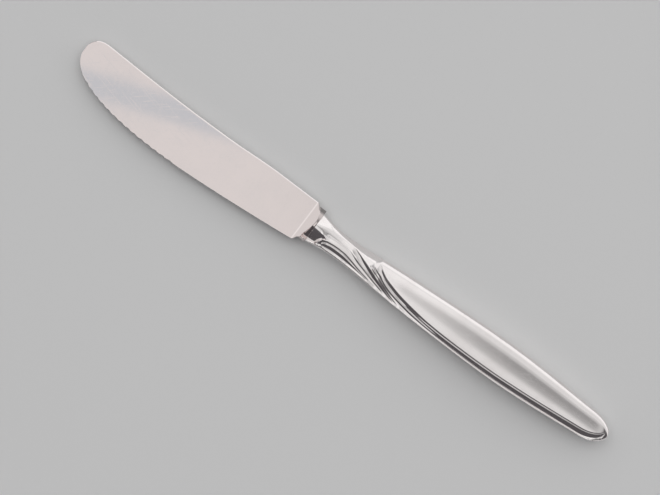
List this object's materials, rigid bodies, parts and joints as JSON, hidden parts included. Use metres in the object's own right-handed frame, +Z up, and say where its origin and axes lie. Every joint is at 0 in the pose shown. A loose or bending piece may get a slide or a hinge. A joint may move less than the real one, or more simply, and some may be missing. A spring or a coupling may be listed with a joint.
{
  "type": "dessert knife",
  "caption": "Dessert knife with a forged round-nosed blade, partly scalloped edge and a hollow silver-plated handle with sweeping flutes.",
  "frame": {"origin": "under the middle of the knife's bounding box, level with the lowest point of the handle's belly, with the knife lying on its side", "axes": "+X along the knife from the blade's tip to the handle's tail, +Y from the cutting edge to the spine, +Z up, square to the plane in which the half shells meet"},
  "size_m": [0.2048, 0.0198, 0.0076],
  "materials": {
    "blade_steel": "satin",
    "silver_plate": "gloss",
    "silver_solder": "satin",
    "handle_cement": "matte"
  },
  "bodies": {
    "root": {"blade": "blade_steel", "front_handle_shell": "silver_plate", "back_handle_shell": "silver_plate", "brazed_seam": "silver_solder", "handle_filling": "handle_cement"}
  },
  "joints": []
}
